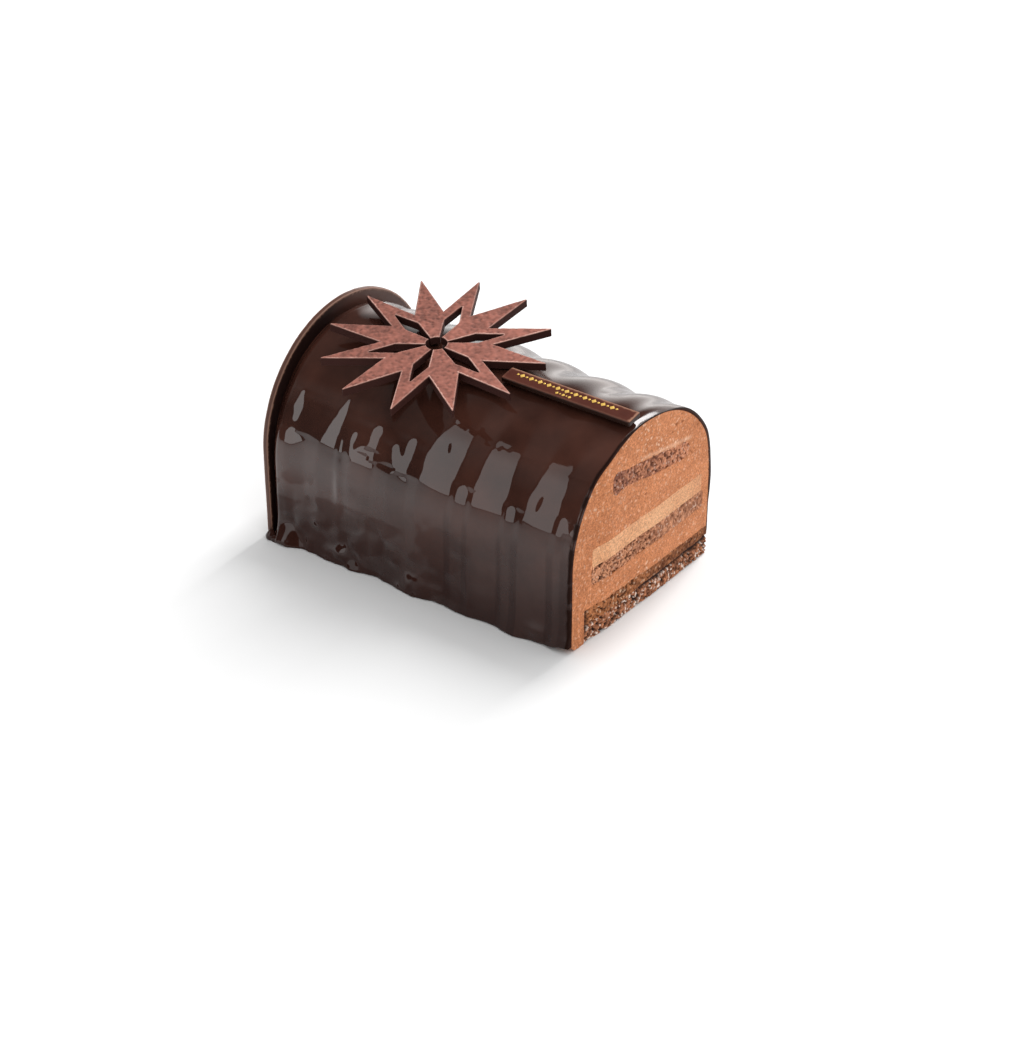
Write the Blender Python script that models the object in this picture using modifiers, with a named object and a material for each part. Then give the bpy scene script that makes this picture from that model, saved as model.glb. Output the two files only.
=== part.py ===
"""A yule log cake, cut straight across at its +X end.

A mousse log with sponge and cream layers stands on a sponge base under a rippled chocolate glaze.
An arched chocolate disc closes the far end. A star and a slim bar of chocolate lie on the ridge.
Metres, +Z up, the log along X, standing on Z = 0 with the origin under the middle of its box.
"""
import math

import bmesh
import bpy
from mathutils import Matrix, Vector

GAP = 0.0003                    # air between pieces that touch

# The log along X
LOG_LENGTH = 0.1274             # from the cut to the back of the end disc
CUT_X = LOG_LENGTH / 2
DISC_THICKNESS = 0.0020
DISC_FRONT_X = DISC_THICKNESS - CUT_X
GLAZE_END_X = DISC_FRONT_X + GAP
GLAZE_END_WALL = 0.0015
CORE_END_X = GLAZE_END_X + GLAZE_END_WALL + GAP

# The section of the mould: straight sides under half a circle
CORE_RADIUS = 0.0387
ARC_HEIGHT = 0.0295
ARC_STEPS = 30
SIDE_STEPS = 6
CORE_END_ROUNDING = 0.003
CORE_CORNER = 0.0005
CORE_CORNER_SLANT = 1.6

# The glaze: its thickness at the cut, and how it swells along the log
GLAZE_AT_CUT = 0.0014
GLAZE_SWELL = 0.0013
GLAZE_STATIONS = 46
GLAZE_END_ROUNDING = 0.004
GLAZE_FOOT_ROUNDING = 0.0015
RIPPLE_DEPTH = 0.00055
RIPPLE_PITCH = 0.019
RIPPLE_CREST_X = -0.0004
FINE_RIPPLE_PITCH = 0.0113
FINE_RIPPLE_SHARE = 0.4
RIDGE_CALM = 0.6                # how much flatter the ripples are along the ridge
FOOT_AT_CUT = 0.0011            # how far the pooled foot stands out, and where it widens
FOOT_MIDDLE_GAIN = 0.0023
FOOT_END_GAIN = 0.0010
FOOT_HEIGHT = 0.0055
HEM_LIFT = 0.0024               # the glaze stops short of the floor beside the cut
HEM_LIFT_LENGTH = 0.012

# The layers that run through the mousse: left and right edge, underside and top, and slope
LAYER_END_X = CORE_END_X + 0.004
LAYER_CORNER = 0.0012
LAYER_WAVE = 0.0003
BASE_LEFT, BASE_RIGHT = -0.0320, CORE_RADIUS
BASE_SEAM, BASE_TOP = 0.0065, 0.0115
BASE_FALL = 0.0016              # how much lower the base's top stands at the +Y side
MIDDLE_LEFT, MIDDLE_RIGHT = -0.0296, 0.0347
MIDDLE_UNDER, MIDDLE_TOP = 0.0201, 0.0269
CREAM_LEFT, CREAM_RIGHT = -0.0281, 0.0345
CREAM_TOP = 0.0336
UPPER_LEFT, UPPER_RIGHT = -0.0178, 0.0253
UPPER_MIDDLE_Z, UPPER_THICKNESS = 0.0500, 0.0074
UPPER_SLOPE = math.radians(-9.3)

# The arched end disc
DISC_RADIUS = 0.0430
DISC_ARC_HEIGHT = 0.0316
DISC_EDGE = 0.0004

# The twelve-pointed star, tilted towards -Y and a little towards the cut
STAR_CENTRE = (-0.0162, -0.0073)
STAR_THICKNESS = 0.0028
STAR_POINTS = 12
STAR_TIP_RADIUS, STAR_NOTCH_RADIUS = 0.0383, 0.0188
STAR_TURN = math.radians(45.86)
STAR_ROLL, STAR_PITCH = math.radians(6.96), math.radians(2.2)
STAR_EDGE = 0.0003
HOLE_RADIUS = 0.0036
SLOT_COUNT = 6
SLOT_NECK_ANGLE = math.radians(4.0)
SLOT_WIDE_RADIUS, SLOT_HALF_WIDTH, SLOT_TIP_RADIUS = 0.0134, 0.0026, 0.0223

# The bar beside the star
BAR_SIZE = (0.0500, 0.0063, 0.0020)
BAR_CENTRE = (0.0371, -0.0068)
BAR_ROLL = math.radians(9.6)
BAR_EDGE = 0.0004

COLOURS = {                     # base colour, roughness
    "glaze": ((0.022, 0.010, 0.007), 0.08),
    "mousse": ((0.58, 0.25, 0.11), 0.75),
    "cream": ((0.70, 0.38, 0.19), 0.55),
    "sponge": ((0.27, 0.12, 0.07), 0.95),
    "base_sponge": ((0.16, 0.06, 0.035), 0.95),
    "plain_chocolate": ((0.09, 0.04, 0.028), 0.40),
    "velvet_chocolate": ((0.30, 0.13, 0.10), 0.70),
    "bar_chocolate": ((0.10, 0.04, 0.022), 0.45),
}


def clear_scene():
    for old in list(bpy.data.objects):
        bpy.data.objects.remove(old, do_unlink=True)


def new_collection(name):
    collection = bpy.data.collections.new(name)
    bpy.context.scene.collection.children.link(collection)
    return collection


def make_material(name):
    colour, roughness = COLOURS[name]
    material = bpy.data.materials.new(name)
    material.use_nodes = True
    shader = material.node_tree.nodes["Principled BSDF"]
    shader.inputs["Base Color"].default_value = (*colour, 1.0)
    shader.inputs["Roughness"].default_value = roughness
    shader.inputs["Metallic"].default_value = 0.0
    return material


def smoothstep(start, end, value):
    share = min(max((value - start) / (end - start), 0.0), 1.0)
    return share * share * (3.0 - 2.0 * share)


# ---- the mould's section -----------------------------------------------------------------------

def section_point(x, height, angle, radius):
    """The angle is 0 on the -Y side and pi on the +Y side, both at ARC_HEIGHT and below."""
    return Vector((x, -radius * math.cos(angle), height + radius * math.sin(angle)))


def arc_angles():
    return [math.pi * step / ARC_STEPS for step in range(ARC_STEPS + 1)]


def rounding_inset(distance, rounding):
    """How far an end rounded over by rounding draws in, at a distance from that end."""
    left = rounding - max(distance, 0.0)
    if left <= 0.0:
        return 0.0
    return rounding - math.sqrt(rounding ** 2 - left ** 2)


def core_arch(x, grow):
    """The arched part of the mousse's section, grown outwards by grow."""
    inset = rounding_inset(x - CORE_END_X + grow, CORE_END_ROUNDING + grow)
    radius = CORE_RADIUS + grow - inset
    return [section_point(x, ARC_HEIGHT, angle, radius) for angle in arc_angles()]


def hem_lift(x):
    """How far the -Y hem of the glaze stops short of the floor, beside the cut."""
    return HEM_LIFT * smoothstep(CUT_X - HEM_LIFT_LENGTH, CUT_X, x)


def mousse_ring(x):
    """One section of the mousse, its lower corners taken off, most so where the hem is lifted."""
    arch = core_arch(x, 0.0)
    left, right = arch[0].y, arch[-1].y
    corner = max(CORE_CORNER, hem_lift(x))
    lower_left = [Vector((x, left + CORE_CORNER_SLANT * corner, 0.0)), Vector((x, left, corner))]
    lower_right = [Vector((x, right, CORE_CORNER)), Vector((x, right - CORE_CORNER, 0.0))]
    return lower_left + arch + lower_right


def cavity_ring(x):
    """One section of the room inside the glaze, open below the floor."""
    arch = core_arch(x, GAP)
    below = -0.002
    return [Vector((x, arch[0].y, below))] + arch + [Vector((x, arch[-1].y, below))]


def end_stations(end_x, rounding, steps=4):
    """Section places over a rounded far end, closer together towards the end."""
    return [end_x + rounding * (step / steps) ** 1.5 for step in range(steps + 1)]


# ---- the glaze's surface -----------------------------------------------------------------------

def ripple(x, angle):
    """Height of the ripples that the glaze ran into, strongest on the flanks."""
    broad = math.cos(2 * math.pi * (x - RIPPLE_CREST_X) / RIPPLE_PITCH + 0.9 * math.sin(2 * angle))
    fine = math.cos(2 * math.pi * x / FINE_RIPPLE_PITCH + 3.0 * angle + 0.6)
    calm = 1.0 - RIDGE_CALM * math.sin(angle) ** 4
    return RIPPLE_DEPTH * calm * (broad * (1.0 - FINE_RIPPLE_SHARE) + fine * FINE_RIPPLE_SHARE)


def foot_flare(x, height):
    """How far the pooled foot stands out: wider from the middle of the log to its far end."""
    middle = smoothstep(CUT_X - 0.030, CUT_X - 0.056, x)
    end = smoothstep(CUT_X - 0.110, CUT_X - 0.121, x)
    reach = FOOT_AT_CUT + FOOT_MIDDLE_GAIN * middle + FOOT_END_GAIN * end
    return reach * math.exp(-height / FOOT_HEIGHT)


def glaze_radius(x, height, angle):
    swell = GLAZE_SWELL * smoothstep(CUT_X - 0.020, CUT_X - 0.085, x)
    flare = foot_flare(x, height) if angle in (0.0, math.pi) else 0.0
    rise = smoothstep(0.020, 0.036, height + CORE_RADIUS * math.sin(angle))
    rounding = GLAZE_FOOT_ROUNDING + (GLAZE_END_ROUNDING - GLAZE_FOOT_ROUNDING) * rise
    inset = rounding_inset(x - GLAZE_END_X, rounding)
    edge_calm = smoothstep(0.0, 0.004, x - GLAZE_END_X)
    wave = ripple(x, angle) * edge_calm
    return CORE_RADIUS + GLAZE_AT_CUT + swell + wave + flare - inset


def glaze_ring(x):
    """One section of the glaze's outside: up the -Y side, over the arch, down the +Y side.

    The points crowd towards the foot. The -Y hem is lifted off the floor beside the cut.
    """
    heights = [ARC_HEIGHT * (step / SIDE_STEPS) ** 1.6 for step in range(SIDE_STEPS)]
    left = [(height, 0.0) for height in heights]
    over = [(ARC_HEIGHT, angle) for angle in arc_angles()]
    right = [(height, math.pi) for height in reversed(heights)]
    lift = hem_lift(x)
    ring = []
    for height, angle in left + over + right:
        point = section_point(x, height, angle, glaze_radius(x, height, angle))
        if angle == 0.0:
            point.z = lift + point.z * (1.0 - lift / ARC_HEIGHT)
        ring.append(point)
    return ring


def glaze_stations():
    rounded = end_stations(GLAZE_END_X, GLAZE_END_ROUNDING, 5)
    start = rounded[-1]
    count = GLAZE_STATIONS - len(rounded)
    return rounded + [start + (CUT_X - start) * step / count for step in range(1, count + 1)]


def rest_height(centre, reach, normal):
    """Distance along normal from the origin to the highest glaze under a flat piece."""
    highest = 0.0
    steps = 60
    for i in range(steps + 1):
        x = centre[0] + reach[0] * (2 * i / steps - 1)
        if not GLAZE_END_X + GLAZE_END_ROUNDING <= x <= CUT_X:
            continue
        for j in range(steps + 1):
            angle = math.pi * (0.2 + 0.6 * j / steps)
            point = section_point(x, ARC_HEIGHT, angle, glaze_radius(x, ARC_HEIGHT, angle))
            if abs(point.y - centre[1]) <= reach[1]:
                highest = max(highest, point.dot(normal))
    return highest


# ---- mesh helpers ------------------------------------------------------------------------------

def add_object(name, mesh, collection, material=None):
    piece = bpy.data.objects.new(name, mesh)
    collection.objects.link(piece)
    if material is not None:
        mesh.materials.clear()
        mesh.materials.append(material)
    return piece


def shade_round(mesh, angle=math.radians(35)):
    mesh.shade_smooth()
    mesh.set_sharp_from_angle(angle=angle)


def loft(name, rings, collection, material=None):
    """A closed body through rings of equally many points, its ends capped."""
    count = len(rings[0])
    shape = bmesh.new()
    rows = [[shape.verts.new(point) for point in ring] for ring in rings]
    for lower, upper in zip(rows, rows[1:]):
        for i in range(count):
            following = (i + 1) % count
            shape.faces.new((lower[i], lower[following], upper[following], upper[i]))
    shape.faces.new(list(reversed(rows[0])))
    shape.faces.new(rows[-1])
    bmesh.ops.triangulate(shape, faces=shape.faces[:])
    bmesh.ops.recalc_face_normals(shape, faces=shape.faces[:])
    mesh = bpy.data.meshes.new(name)
    shape.to_mesh(mesh)
    shape.free()
    shade_round(mesh)
    return add_object(name, mesh, collection, material)


def plate(name, outlines, thickness, collection, material=None):
    """A flat plate with the given closed outlines in its XY plane, as a welded mesh."""
    curve = bpy.data.curves.new(name, "CURVE")
    curve.dimensions = "2D"
    curve.fill_mode = "BOTH"
    curve.extrude = thickness / 2
    for outline in outlines:
        spline = curve.splines.new("POLY")
        spline.points.add(len(outline) - 1)
        for control, (u, v) in zip(spline.points, outline):
            control.co = (u, v, 0.0, 1.0)
        spline.use_cyclic_u = True
    drawn = bpy.data.objects.new(name + "_outline", curve)
    collection.objects.link(drawn)
    evaluated = drawn.evaluated_get(bpy.context.evaluated_depsgraph_get())
    mesh = bpy.data.meshes.new_from_object(evaluated)
    bpy.data.objects.remove(drawn, do_unlink=True)
    bpy.data.curves.remove(curve)
    shape = bmesh.new()
    shape.from_mesh(mesh)
    bmesh.ops.remove_doubles(shape, verts=shape.verts[:], dist=0.00001)
    bmesh.ops.recalc_face_normals(shape, faces=shape.faces[:])
    shape.to_mesh(mesh)
    shape.free()
    mesh.name = name
    shade_round(mesh)
    return add_object(name, mesh, collection, material)


def stand_across(piece, middle_x):
    """Turn a plate from its XY plane to face along X, its outline's u along Y and v along Z."""
    piece.rotation_euler = (math.pi / 2, 0.0, math.pi / 2)
    piece.location = (middle_x, 0.0, 0.0)


def round_edges(piece, width, segments=2):
    bevel = piece.modifiers.new("edges", "BEVEL")
    bevel.width = width
    bevel.segments = segments
    bevel.limit_method = "ANGLE"
    bevel.angle_limit = math.radians(60)


def cut_away(piece, cutter):
    cutter.hide_render = True
    cutter.display_type = "WIRE"
    cut = piece.modifiers.new("cut_" + cutter.name, "BOOLEAN")
    cut.operation = "DIFFERENCE"
    cut.solver = "EXACT"
    cut.object = cutter


# ---- outlines ----------------------------------------------------------------------------------

def wavy_edge(y, seed):
    """Small unevenness of a layer's upper or lower face across the log."""
    return LAYER_WAVE * (math.sin(310.0 * y + seed) + 0.6 * math.sin(730.0 * y + 2.1 * seed))


def layer_outline(left, right, under, top, seeds, grow=0.0, slope=0.0, steps=24):
    """A layer's section: uneven faces between rounded sides, grown outwards by grow."""
    start, end = left - grow, right + grow
    middle = (left + right) / 2
    half = (end - start) / 2
    lower, upper = [], []
    for step in range(steps + 1):
        across = -math.cos(math.pi * step / steps)
        y = (start + end) / 2 + half * across
        side = half - abs(y - (start + end) / 2)
        draw_in = rounding_inset(side, LAYER_CORNER)
        lean = (y - middle) * math.tan(slope)
        lower.append((y, under + lean - grow + draw_in + wavy_edge(y, seeds[0])))
        upper.append((y, top + lean + grow - draw_in + wavy_edge(y, seeds[1])))
    return lower + list(reversed(upper))


def base_outline(under, top, flat_floor, grow=0.0):
    """A base layer's section: straight cut sides, an uneven seam, a flat underside, a sloping top."""
    fall = 0.0 if flat_floor else BASE_FALL
    steps = 16
    width = BASE_RIGHT - BASE_LEFT
    lower, upper = [], []
    for step in range(steps + 1):
        y = BASE_LEFT + width * step / steps
        lower.append((y, under if flat_floor else under + wavy_edge(y, 4.0)))
        level = top + grow + fall * (0.5 - step / steps)
        upper.append((y, level + wavy_edge(y, 4.0 if flat_floor else 5.5)))
    return lower + list(reversed(upper))


def base_pocket_outline():
    """The room that the base takes out of the mousse, which has no leg on the +Y side."""
    outline = base_outline(-0.002, BASE_TOP, False, GAP)
    left = BASE_LEFT - GAP
    beyond = CORE_RADIUS + 0.005
    top = outline[len(outline) // 2:]
    first, last = top[0], top[-1]
    return [(left, -0.002), (beyond, -0.002), (beyond, first[1])] + top + [(left, last[1])]


def arch_outline(radius, arc_height, steps=44):
    arc = [math.pi * step / steps for step in range(steps + 1)]
    over = [(radius * math.cos(angle), arc_height + radius * math.sin(angle)) for angle in arc]
    return [(radius, 0.0)] + over + [(-radius, 0.0)]


def polar(radius, angle):
    return (radius * math.cos(angle), radius * math.sin(angle))


def star_outline():
    half_turn = math.pi / STAR_POINTS
    outline = []
    for point in range(STAR_POINTS):
        tip_angle = STAR_TURN + 2 * half_turn * point
        outline.append(polar(STAR_TIP_RADIUS, tip_angle))
        outline.append(polar(STAR_NOTCH_RADIUS, tip_angle + half_turn))
    return outline


def star_opening_outline():
    """The centre hole and the six pointed slots that run out of it into every other arm."""
    spread = math.atan2(SLOT_HALF_WIDTH, SLOT_WIDE_RADIUS)
    wide = math.hypot(SLOT_HALF_WIDTH, SLOT_WIDE_RADIUS)
    between = 2 * math.pi / SLOT_COUNT
    hole_steps = 4
    outline = []
    for slot in range(SLOT_COUNT):
        angle = STAR_TURN + between * slot
        outline.append(polar(HOLE_RADIUS, angle - SLOT_NECK_ANGLE))
        outline.append(polar(wide, angle - spread))
        outline.append(polar(SLOT_TIP_RADIUS, angle))
        outline.append(polar(wide, angle + spread))
        outline.append(polar(HOLE_RADIUS, angle + SLOT_NECK_ANGLE))
        arc = between - 2 * SLOT_NECK_ANGLE
        for step in range(1, hole_steps):
            outline.append(polar(HOLE_RADIUS, angle + SLOT_NECK_ANGLE + arc * step / hole_steps))
    return outline


# ---- the pieces --------------------------------------------------------------------------------

def build_glaze(parts, cutters):
    glaze = loft("glaze", [glaze_ring(x) for x in glaze_stations()], parts, make_material("glaze"))
    stations = end_stations(CORE_END_X - GAP, CORE_END_ROUNDING + GAP) + [CUT_X + 0.005]
    cut_away(glaze, loft("glaze_inside", [cavity_ring(x) for x in stations], cutters))


def pocket(mousse, name, outline, cutters):
    """Cut a layer's room out of the mousse, open at the cut face."""
    start, end = LAYER_END_X - GAP, CUT_X + 0.002
    cutter = plate(name, [outline], end - start, cutters)
    stand_across(cutter, (start + end) / 2)
    cut_away(mousse, cutter)


def build_mousse(parts, cutters):
    lifted = [CUT_X - HEM_LIFT_LENGTH * (1 - step / 3) for step in range(4)]
    stations = end_stations(CORE_END_X, CORE_END_ROUNDING) + lifted
    mousse = loft("mousse_core", [mousse_ring(x) for x in stations], parts, make_material("mousse"))
    pocket(mousse, "base_room", base_pocket_outline(), cutters)
    for name, outline in inner_layers(GAP).items():
        pocket(mousse, name + "_room", outline, cutters)


def inner_layers(grow):
    """Sections of the layers inside the mousse. Two that touch part half a gap each."""
    seam = GAP / 2
    middle = (MIDDLE_LEFT, MIDDLE_RIGHT, MIDDLE_UNDER, MIDDLE_TOP - seam, (1.0, 2.5))
    cream = (CREAM_LEFT, CREAM_RIGHT, MIDDLE_TOP + seam, CREAM_TOP, (2.5, 3.3))
    half = UPPER_THICKNESS / 2
    upper = (UPPER_LEFT, UPPER_RIGHT, UPPER_MIDDLE_Z - half, UPPER_MIDDLE_Z + half, (0.4, 1.7))
    return {
        "middle_sponge": layer_outline(*middle, grow=grow),
        "cream_layer": layer_outline(*cream, grow=grow),
        "upper_sponge": layer_outline(*upper, grow=grow, slope=UPPER_SLOPE),
    }


def build_layers(parts):
    seam = GAP / 2
    sections = inner_layers(0.0)
    sections["base_sponge_top"] = base_outline(BASE_SEAM + seam, BASE_TOP, False)
    sections["base_sponge_bottom"] = base_outline(0.0, BASE_SEAM - seam, True)
    looks = {
        "cream_layer": "cream",
        "middle_sponge": "sponge",
        "upper_sponge": "sponge",
        "base_sponge_top": "base_sponge",
        "base_sponge_bottom": "base_sponge",
    }
    for name, outline in sections.items():
        layer = plate(name, [outline], CUT_X - LAYER_END_X, parts, make_material(looks[name]))
        stand_across(layer, (CUT_X + LAYER_END_X) / 2)


def build_end_disc(parts):
    outline = arch_outline(DISC_RADIUS, DISC_ARC_HEIGHT)
    disc = plate("end_disc", [outline], DISC_THICKNESS, parts, make_material("plain_chocolate"))
    stand_across(disc, DISC_FRONT_X - DISC_THICKNESS / 2)
    round_edges(disc, DISC_EDGE, 1)


def lay_on_ridge(piece, centre, reach, roll, pitch, thickness):
    """Tilt a flat piece and lower it until it is a gap above the glaze's highest crest."""
    turn = Matrix.Rotation(pitch, 3, "Y") @ Matrix.Rotation(roll, 3, "X")
    normal = turn @ Vector((0.0, 0.0, 1.0))
    level = rest_height(centre, reach, normal) + GAP + thickness / 2
    x, y = centre
    piece.rotation_euler = turn.to_euler()
    piece.location = (x, y, (level - normal.x * x - normal.y * y) / normal.z)


def build_star(parts):
    outlines = [star_outline(), star_opening_outline()]
    star = plate("star", outlines, STAR_THICKNESS, parts, make_material("velvet_chocolate"))
    round_edges(star, STAR_EDGE, 1)
    reach = (STAR_TIP_RADIUS, STAR_TIP_RADIUS)
    lay_on_ridge(star, STAR_CENTRE, reach, STAR_ROLL, STAR_PITCH, STAR_THICKNESS)


def build_bar(parts):
    bpy.ops.mesh.primitive_cube_add(size=1.0)
    bar = bpy.context.object
    bar.name = "plaque"
    bar.data.transform(Matrix.Diagonal((*BAR_SIZE, 1.0)))
    bar.data.materials.append(make_material("bar_chocolate"))
    for collection in list(bar.users_collection):
        collection.objects.unlink(bar)
    parts.objects.link(bar)
    round_edges(bar, BAR_EDGE)
    reach = (BAR_SIZE[0] / 2, BAR_SIZE[1] / 2)
    lay_on_ridge(bar, BAR_CENTRE, reach, BAR_ROLL, 0.0, BAR_SIZE[2])


def main():
    clear_scene()
    parts = new_collection("yule_log_cake")
    cutters = new_collection("cutters")
    build_glaze(parts, cutters)
    build_mousse(parts, cutters)
    build_layers(parts)
    build_end_disc(parts)
    build_star(parts)
    build_bar(parts)


main()
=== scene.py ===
"""Looks of the cut yule log cake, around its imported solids. Metres, +Z up, the log along X."""
from math import atan2, ceil, cos, hypot, pi, radians, sin, sqrt, tan

import bpy
import numpy as np
from mathutils import Matrix, Vector
from mathutils.geometry import delaunay_2d_cdt


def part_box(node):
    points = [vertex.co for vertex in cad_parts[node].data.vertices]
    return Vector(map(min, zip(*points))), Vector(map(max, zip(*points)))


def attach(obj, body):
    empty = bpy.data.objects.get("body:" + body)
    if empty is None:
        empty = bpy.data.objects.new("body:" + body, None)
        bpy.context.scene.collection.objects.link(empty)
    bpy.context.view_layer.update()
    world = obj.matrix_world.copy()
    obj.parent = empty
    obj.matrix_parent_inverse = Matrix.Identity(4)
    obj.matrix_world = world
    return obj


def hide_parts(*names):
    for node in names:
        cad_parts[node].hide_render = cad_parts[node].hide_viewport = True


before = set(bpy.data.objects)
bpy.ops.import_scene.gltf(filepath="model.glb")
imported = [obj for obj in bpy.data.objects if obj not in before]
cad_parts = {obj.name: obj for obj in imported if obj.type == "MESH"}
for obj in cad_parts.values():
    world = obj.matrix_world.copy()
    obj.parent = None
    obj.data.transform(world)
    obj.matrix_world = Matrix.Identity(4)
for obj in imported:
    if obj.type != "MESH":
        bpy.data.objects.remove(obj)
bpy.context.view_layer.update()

MM = 0.001


# ---- where things are, from the frame

core_low, core_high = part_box("mousse_core")
glaze_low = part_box("glaze")[0]
disc_low, disc_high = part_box("end_disc")
star_low, star_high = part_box("star")
plaque_low, plaque_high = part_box("plaque")
base_low, base_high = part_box("base_sponge_bottom")
base_top_low, base_top_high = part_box("base_sponge_top")
middle_low, middle_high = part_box("middle_sponge")
cream_low, cream_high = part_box("cream_layer")
upper_low, upper_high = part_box("upper_sponge")

FACE_X = core_high.x - 0.35 * MM  # the cut, set back a little so that crumbs stay in the box
CORE_RADIUS = core_high.y
ARC_HEIGHT = core_high.z - CORE_RADIUS
CORE_END_X = core_low.x
LAYER_END_X = base_low.x
GLAZE_END_X = disc_high.x
LAYER_WAVE = 0.45 * MM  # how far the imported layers' edges wander
CUT_SKEW = 1.6 * MM  # how far the cut lies back at its -Y side
CROWN_SKEW = 0.5 * MM  # the part of it that is reached beside the ridge
MARK_X = core_high.x - CUT_SKEW  # where distances along the log are measured from
BASE_FALL = 1.6 * MM  # how much lower the base's top stands at the +Y side


# ---- smooth noise

def lattice(i, j, k, seed):
    """A repeatable number from 0 to 1 at each lattice point."""
    mask = np.uint64(0xFFFFFFFF)
    value = (i * 374761393 + j * 668265263 + k * 1442695041 + seed * 974711).astype(np.int64)
    value = value.astype(np.uint64) & mask
    value = ((value ^ (value >> np.uint64(13))) * np.uint64(1274126177)) & mask
    value = ((value ^ (value >> np.uint64(15))) * np.uint64(2246822519)) & mask
    return ((value ^ (value >> np.uint64(16))) & mask).astype(float) / 4294967295.0


def noise(x, y, z, seed=0):
    """Smooth noise from -1 to 1. A feature is about one unit wide."""
    x, y, z = np.broadcast_arrays(x, y, z)
    cell = [np.floor(c).astype(np.int64) for c in (x, y, z)]
    part = [c - np.floor(c) for c in (x, y, z)]
    ease = [p * p * p * (p * (p * 6 - 15) + 10) for p in part]
    total = 0.0
    for corner in np.ndindex(2, 2, 2):
        weight = 1.0
        for far, share in zip(corner, ease):
            weight = weight * (share if far else 1 - share)
        total = total + weight * lattice(*(c + far for c, far in zip(cell, corner)), seed)
    return total * 2 - 1


def grain(a, b, size, seed):
    """Smooth noise over a surface, with features about size millimetres wide."""
    return noise(a / (size * MM), b / (size * MM), 0.5, seed)


def mottle(a, b, *layers):
    """Noise of several sizes added up. A layer is its amount, size in millimetres and seed."""
    return sum(amount * grain(a, b, size, seed) for amount, size, seed in layers)


def relief_of(*layers):
    """A height in metres over two coordinates, its layers as in mottle but amounts in millimetres."""
    return lambda a, b: MM * mottle(a, b, *layers)


def wobble(a, size, seed):
    """Smooth noise along one direction."""
    return grain(a, 0 * a, size, seed)


def smoothstep(start, end, value):
    share = np.clip((value - start) / (end - start), 0.0, 1.0)
    return share * share * (3.0 - 2.0 * share)


def ramp(start, end, value):
    """0 to 1 as a value in metres goes from start to end millimetres."""
    return smoothstep(start * MM, end * MM, value)


def cut_at(y):
    """Where along X the cut is. The knife left it lying back on the -Y side."""
    crown = CROWN_SKEW * ramp(6, -6, y)
    return FACE_X - crown - (CUT_SKEW - CROWN_SKEW) * ramp(-19, -29, y)


def mousse_radius(angle):
    """The mousse's radius, 0 at the -Y side. The glaze is let into it a little on the +Y side."""
    return CORE_RADIUS - 1.85 * MM * smoothstep(0.82 * pi, 0.96 * pi, angle)


# ---- mesh helpers

def add_object(name, data):
    piece = bpy.data.objects.new(name, data)
    bpy.context.scene.collection.objects.link(piece)
    return piece


def add_mesh(name, verts, faces, material, crease=None):
    mesh = bpy.data.meshes.new(name)
    mesh.from_pydata(np.asarray(verts).tolist(), [], faces)
    mesh.validate()
    mesh.shade_smooth()
    if crease is not None:
        mesh.set_sharp_from_angle(angle=radians(crease))
    mesh.materials.append(material)
    return add_object(name, mesh)


def settle(piece, node):
    """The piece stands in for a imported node."""
    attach(piece, "root")
    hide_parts(node)


def paint(piece, values):
    """Three numbers at each point, which the piece's material reads as its crumb."""
    layer = piece.data.attributes.new("crumb", "FLOAT_COLOR", "POINT")
    rgba = np.concatenate([values, np.ones((len(values), 1))], 1)
    layer.data.foreach_set("color", rgba.astype(np.float32).ravel())


def channels(*values):
    """Three numbers at each point, from 0 to 1."""
    return np.clip(np.stack(values, 1), 0, 1)


def facing(piece, x, y):
    """How far the side of each point looks along x and y."""
    normals = np.array([tuple(point.normal) for point in piece.data.vertices])
    flat = np.maximum(np.hypot(normals[:, 0], normals[:, 1]), 1e-6)
    return (x * normals[:, 0] + y * normals[:, 1]) / flat


def arch(radius, height, count):
    """Points over a half circle, from +Y to -Y."""
    angles = np.linspace(0, pi, count)
    return np.stack([radius * np.cos(angles), height + radius * np.sin(angles)], 1)


def feet(radius, corner):
    """The two cut corners under an arch."""
    return np.array([[-radius, corner], [corner - radius, 0.0], [radius - corner, 0.0], [radius, corner]])


def line(y, z):
    """Points in the section, with y or z the same all along."""
    return np.stack(np.broadcast_arrays(y, z), 1)


def resample(loop, spacing):
    """The closed loop with points at most spacing apart along its straight runs."""
    out = []
    for start, end in zip(loop, np.roll(loop, -1, 0)):
        steps = max(1, int(ceil(np.linalg.norm(end - start) / spacing)))
        for step in range(steps):
            out.append(start + (end - start) * step / steps)
    return np.array(out)


def inset(loop, distance):
    """The loop moved towards its left side."""
    before, after = loop - np.roll(loop, 1, 0), np.roll(loop, -1, 0) - loop
    sides = []
    for run in (before, after):
        run = run / np.linalg.norm(run, axis=1)[:, None]
        sides.append(np.stack([-run[:, 1], run[:, 0]], 1))
    share = 1 + (sides[0] * sides[1]).sum(1)
    return loop + distance * (sides[0] + sides[1]) / np.maximum(share, 0.25)[:, None]


def is_inside(points, loops):
    """Whether each point lies between the loops, by counting the edges to its right."""
    odd = np.zeros(len(points), bool)
    for loop in loops:
        for (ax, ay), (bx, by) in zip(loop, np.roll(loop, -1, 0)):
            if ay == by:
                continue
            spans = (points[:, 1] > min(ay, by)) & (points[:, 1] <= max(ay, by))
            cross = ax + (points[:, 1] - ay) * (bx - ax) / (by - ay)
            odd ^= spans & (cross > points[:, 0])
    return odd


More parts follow.
